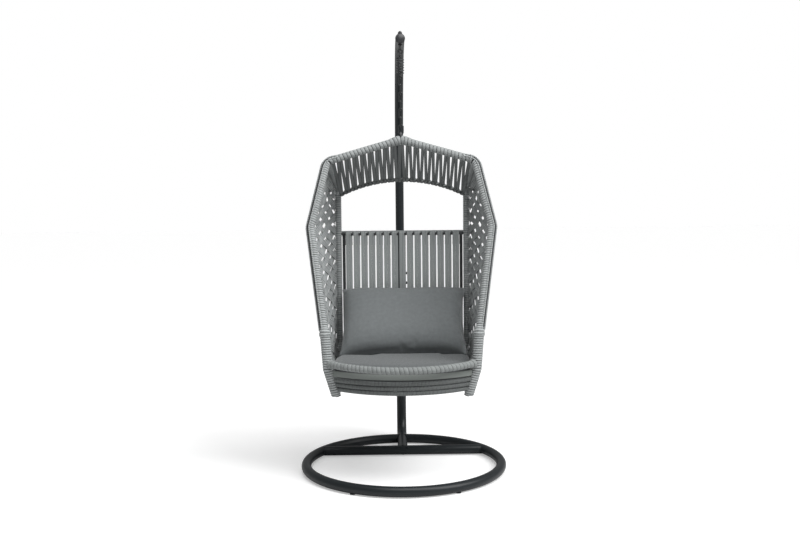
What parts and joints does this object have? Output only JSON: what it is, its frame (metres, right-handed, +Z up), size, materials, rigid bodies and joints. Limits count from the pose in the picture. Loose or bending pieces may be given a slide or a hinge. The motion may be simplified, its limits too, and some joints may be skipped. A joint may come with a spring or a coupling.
{
  "type": "hanging egg chair",
  "caption": "Rope-wrapped egg-shaped garden chair with seat cushion and pillow, hung by spring and chain from a free-standing arched steel post on a ring base.",
  "frame": {"origin": "on the floor, below the middle of the whole object's box", "axes": "+Z up along the post, -Y towards the chair's open front, +X to the right of a viewer who faces the front"},
  "size_m": [0.95, 1.0792, 2.01],
  "materials": {
    "powder_coat": "satin anthracite powder coat",
    "hardware": "blackened zinc, half gloss",
    "nylon": "black, finely grained",
    "frame_tube": "grey powder coat",
    "rope": "flat grey braided rope, wound tight",
    "strap": "flat grey braided rope",
    "cushion_cloth": "plain woven grey polyester"
  },
  "bodies": {
    "stand": {"base_ring": "powder_coat", "cross_bar": "powder_coat", "lower_post": "powder_coat", "upper_post": "powder_coat", "post_bolts": "hardware", "post_nuts": "hardware", "arm_end_cap": "nylon", "floor_glides": "nylon", "swivel_bushes": "nylon"},
    "swivel_eye": {"eye_bolt": "hardware", "dome_nut": "hardware", "nut_washer": "hardware"},
    "top_link": {"top_link": "hardware"},
    "spring_hanger": {"spring": "hardware"},
    "drop": {"chain": "hardware", "snap_hook": "hardware", "gate_pin": "hardware"},
    "gate": {"snap_gate": "hardware"},
    "chair": {"hanging_eye": "frame_tube", "rim_tube": "frame_tube", "rim_wrap": "rope", "edge_cord": "rope", "upright_left": "frame_tube", "upright_right": "frame_tube", "upright_wrap_left": "rope", "upright_wrap_right": "rope", "hood_arch": "frame_tube", "back_rail": "frame_tube", "seat_side_rails": "frame_tube", "seat_side_wraps": "rope", "seat_rear_rail": "frame_tube", "front_rail": "frame_tube", "front_rail_wrap": "rope", "front_band": "rope", "apron_bars": "frame_tube", "apron_wraps": "rope", "side_net_left": "strap", "side_net_right": "strap", "hood_lacing": "strap", "back_straps": "strap", "seat_straps": "strap"},
    "seat_cushion": {"seat_cushion": "cushion_cloth"},
    "pillow": {"pillow": "cushion_cloth"}
  },
  "joints": [
    {"name": "swivel", "type": "hinge", "parent": "stand", "child": "swivel_eye", "pos_m": [0, -0.06457, 1.95], "axis": [0, 0, 1], "continuous": true},
    {"name": "side_swing", "type": "hinge", "parent": "swivel_eye", "child": "top_link", "pos_m": [0, -0.06457, 1.9225], "axis": [0, 1, 0], "range_deg": [-6, 6]},
    {"name": "swing", "type": "hinge", "parent": "top_link", "child": "spring_hanger", "pos_m": [0, -0.06457, 1.9063], "axis": [1, 0, 0], "range_deg": [-15, 6]},
    {"name": "bounce", "type": "slide", "parent": "spring_hanger", "child": "drop", "axis": [0, 0, -1], "range_m": [0, 0.03], "stiffness_N_per_m": 3000, "springref_m": -0.1, "deforming": ["spring"]},
    {"name": "gate_swing", "type": "hinge", "parent": "drop", "child": "gate", "pos_m": [0.011, -0.06457, 1.5563], "axis": [0, 1, 0], "range_deg": [-15, 0], "stiffness_Nm_per_rad": 0.2, "springref_deg": 20.05},
    {"name": "nod", "type": "hinge", "parent": "drop", "child": "chair", "pos_m": [0, -0.06457, 1.5467], "axis": [1, 0, 0], "range_deg": [-4, 4]},
    {"name": "seat_cushion_lift", "type": "slide", "parent": "chair", "child": "seat_cushion", "axis": [0, 0, 1], "range_m": [0, 0.06]},
    {"name": "pillow_lift", "type": "slide", "parent": "seat_cushion", "child": "pillow", "axis": [0, 0, 1], "range_m": [0, 0.06]}
  ]
}
